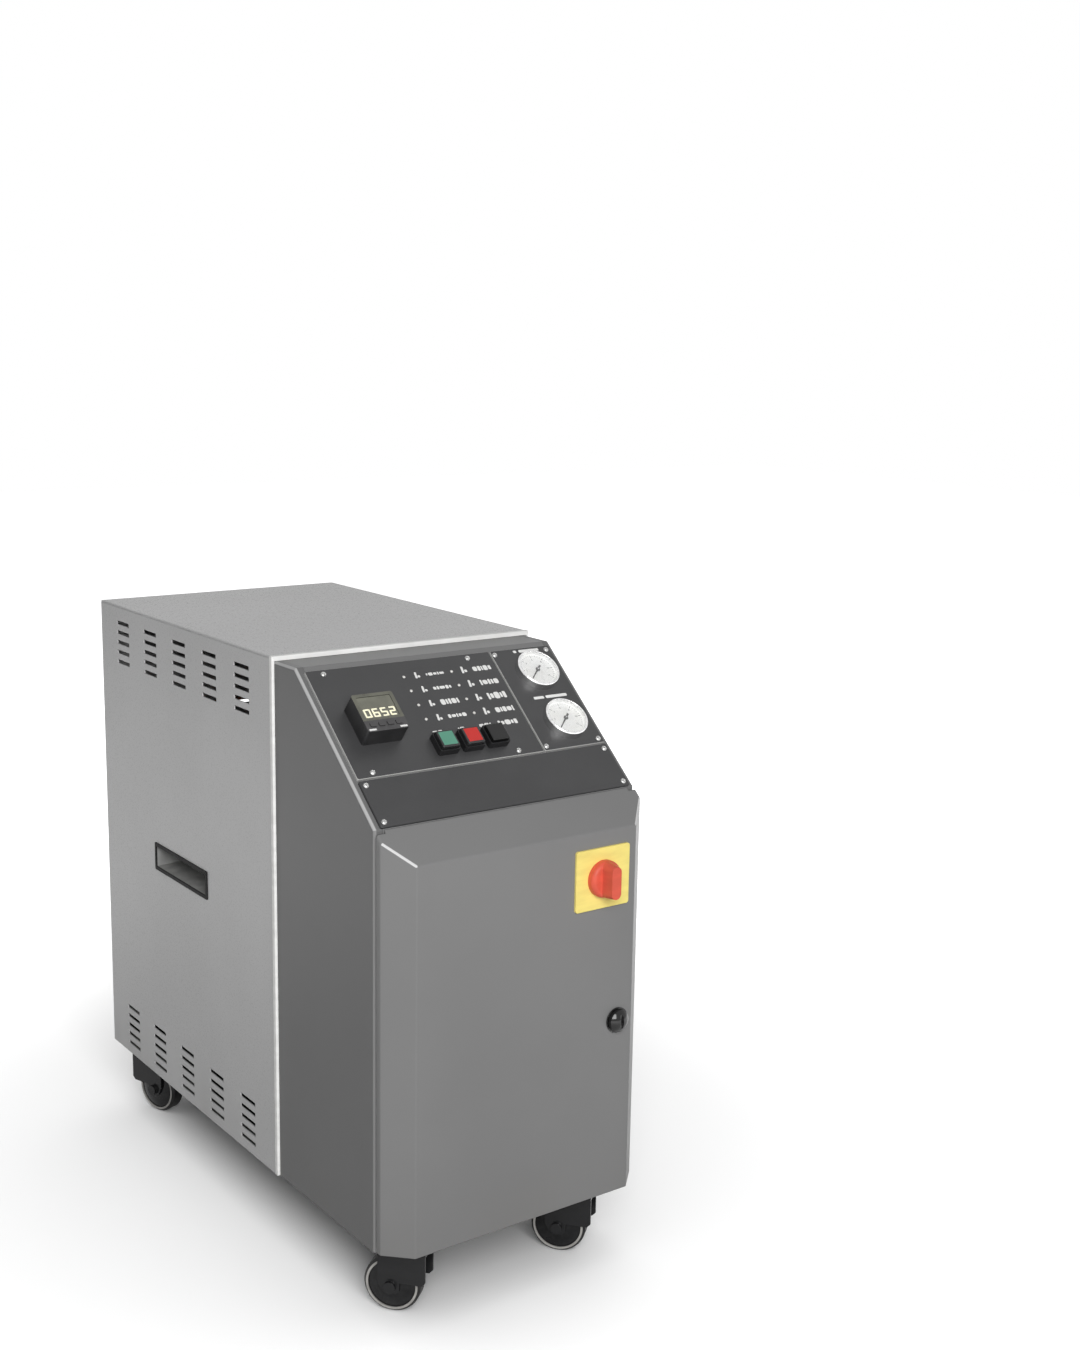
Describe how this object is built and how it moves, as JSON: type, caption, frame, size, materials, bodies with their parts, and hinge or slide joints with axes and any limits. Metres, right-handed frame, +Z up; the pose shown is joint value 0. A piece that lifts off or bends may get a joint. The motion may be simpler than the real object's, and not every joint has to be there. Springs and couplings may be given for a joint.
{
  "type": "water temperature control unit",
  "caption": "Cabinet on swivel casters that heats, cools and pumps process water, with a sloped control console, hinged front door, main switch, dial gauges and rear pipe ports.",
  "frame": {"origin": "on the floor under the middle of the unit's overall box", "axes": "+X to the unit's right seen from the front, +Y to the rear, +Z up"},
  "size_m": [0.3324, 0.752, 0.6703],
  "materials": {
    "shell_paint": "semi-gloss light grey paint",
    "nose_paint": "fine textured mid grey paint",
    "plate_paint": "charcoal powder coat",
    "bright_trim": "bright satin strip",
    "black_plastic": "moulded, fine grain",
    "gloss_black": "polished moulding",
    "fork_paint": "gloss black paint",
    "switch_yellow": "gloss",
    "switch_red": "gloss",
    "button_green": "translucent gloss",
    "button_red": "translucent gloss",
    "chrome": "polished",
    "dial_white": "printed dial",
    "clear_glass": "clear",
    "lamp": "diffuse lens",
    "zinc_steel": "zinc plated",
    "motor_paint": "blue grey enamel",
    "cast_body": "grey enamel",
    "stainless": "brushed",
    "pipe_steel": "galvanised",
    "brass": "cast brass",
    "copper": "drawn copper",
    "beige_plastic": "moulded"
  },
  "bodies": {
    "cabinet": {"base_pan": "zinc_steel", "left_side_panel": "shell_paint", "right_side_panel": "shell_paint", "left_hand_grip": "black_plastic", "right_hand_grip": "black_plastic", "top_cover": "shell_paint", "edge_trim": "bright_trim", "rear_panel": "shell_paint", "left_cheek": "nose_paint", "right_cheek": "nose_paint", "console_bed": "nose_paint", "control_plate": "plate_paint", "gauge_plate": "plate_paint", "lower_plate": "plate_paint", "plate_screws": "zinc_steel", "bulkhead": "zinc_steel", "frame_hinges": "zinc_steel", "temperature_controller": "black_plastic", "controller_window": "clear_glass", "button_bezels": "black_plastic", "gauge_cases": "chrome", "gauge_dials": "dial_white", "gauge_lenses": "clear_glass", "status_lamps": "lamp", "electrical_plate": "zinc_steel", "contactors": "beige_plastic", "control_transformer": "cast_body", "pump_motor": "motor_paint", "pump_casing": "cast_body", "heater_tank": "stainless", "immersion_heater": "stainless", "process_pipes": "pipe_steel", "water_pipes": "pipe_steel", "solenoid_valve": "brass", "relief_valve": "brass", "gauge_lines": "copper", "cable_gland": "black_plastic", "caster_plates": "zinc_steel"},
    "front_door": {"front_door": "nose_paint", "door_ears": "zinc_steel", "hinge_pins": "zinc_steel", "switch_plate": "switch_yellow", "switch_body": "black_plastic", "lock_housing": "black_plastic"},
    "switch_handle": {"switch_handle": "switch_red"},
    "door_lock": {"lock_knob": "gloss_black"},
    "green_button": {"green_button": "button_green"},
    "red_button": {"red_button": "button_red"},
    "black_button": {"black_button": "gloss_black"},
    "upper_gauge_pointer": {"upper_gauge_pointer": "black_plastic"},
    "lower_gauge_pointer": {"lower_gauge_pointer": "black_plastic"},
    "pump_rotor": {"pump_rotor": "stainless"},
    "caster_hood_front_left": {"caster_hood_front_left": "fork_paint"},
    "caster_wheels_front_left": {"caster_wheels_front_left": "gloss_black"},
    "caster_hood_front_right": {"caster_hood_front_right": "fork_paint"},
    "caster_wheels_front_right": {"caster_wheels_front_right": "gloss_black"},
    "caster_hood_rear_left": {"caster_hood_rear_left": "fork_paint"},
    "caster_wheels_rear_left": {"caster_wheels_rear_left": "gloss_black"},
    "caster_hood_rear_right": {"caster_hood_rear_right": "fork_paint"},
    "caster_wheels_rear_right": {"caster_wheels_rear_right": "gloss_black"}
  },
  "joints": [
    {"name": "door_hinge", "type": "hinge", "parent": "cabinet", "child": "front_door", "pos_m": [-0.1555, -0.3214, 0.3], "axis": [0, 0, -1], "range_deg": [0, 100]},
    {"name": "main_switch_turn", "type": "hinge", "parent": "front_door", "child": "switch_handle", "pos_m": [0.091, -0.36, 0.45], "axis": [0, -1, 0], "range_deg": [0, 90]},
    {"name": "lock_turn", "type": "hinge", "parent": "front_door", "child": "door_lock", "pos_m": [0.116, -0.34, 0.287], "axis": [0, -1, 0], "range_deg": [0, 90]},
    {"name": "green_button_press", "type": "slide", "parent": "cabinet", "child": "green_button", "axis": [0, 0.6428, -0.766], "range_m": [0, 0.0035], "stiffness_N_per_m": 600},
    {"name": "red_button_press", "type": "slide", "parent": "cabinet", "child": "red_button", "axis": [0, 0.6428, -0.766], "range_m": [0, 0.0035], "stiffness_N_per_m": 600},
    {"name": "black_button_press", "type": "slide", "parent": "cabinet", "child": "black_button", "axis": [0, 0.6428, -0.766], "range_m": [0, 0.0035], "stiffness_N_per_m": 600},
    {"name": "upper_pointer_turn", "type": "hinge", "parent": "cabinet", "child": "upper_gauge_pointer", "pos_m": [0.1185, -0.19354, 0.64304], "axis": [0, -0.6428, 0.766], "range_deg": [-264, 0]},
    {"name": "lower_pointer_turn", "type": "hinge", "parent": "cabinet", "child": "lower_gauge_pointer", "pos_m": [0.1185, -0.24678, 0.59836], "axis": [0, -0.6428, 0.766], "range_deg": [-264, 0]},
    {"name": "pump_spin", "type": "hinge", "parent": "cabinet", "child": "pump_rotor", "pos_m": [-0.07, 0.1, 0.19], "axis": [0, 1, 0], "continuous": true},
    {"name": "front_left_caster_swivel", "type": "hinge", "parent": "cabinet", "child": "caster_hood_front_left", "pos_m": [-0.108, -0.304, 0.075], "axis": [0, 0, 1], "continuous": true},
    {"name": "front_left_caster_roll", "type": "hinge", "parent": "caster_hood_front_left", "child": "caster_wheels_front_left", "pos_m": [-0.12214, -0.28715, 0.031], "axis": [-0.766, -0.6428, 0], "continuous": true},
    {"name": "front_right_caster_swivel", "type": "hinge", "parent": "cabinet", "child": "caster_hood_front_right", "pos_m": [0.108, -0.304, 0.075], "axis": [0, 0, 1], "continuous": true},
    {"name": "front_right_caster_roll", "type": "hinge", "parent": "caster_hood_front_right", "child": "caster_wheels_front_right", "pos_m": [0.09386, -0.28715, 0.031], "axis": [-0.766, -0.6428, 0], "continuous": true},
    {"name": "rear_left_caster_swivel", "type": "hinge", "parent": "cabinet", "child": "caster_hood_rear_left", "pos_m": [-0.133, 0.312, 0.075], "axis": [0, 0, 1], "continuous": true},
    {"name": "rear_left_caster_roll", "type": "hinge", "parent": "caster_hood_rear_left", "child": "caster_wheels_rear_left", "pos_m": [-0.12584, 0.2912, 0.031], "axis": [0.9455, 0.3256, 0], "continuous": true},
    {"name": "rear_right_caster_swivel", "type": "hinge", "parent": "cabinet", "child": "caster_hood_rear_right", "pos_m": [0.133, 0.312, 0.075], "axis": [0, 0, 1], "continuous": true},
    {"name": "rear_right_caster_roll", "type": "hinge", "parent": "caster_hood_rear_right", "child": "caster_wheels_rear_right", "pos_m": [0.14016, 0.2912, 0.031], "axis": [0.9455, 0.3256, 0], "continuous": true}
  ]
}
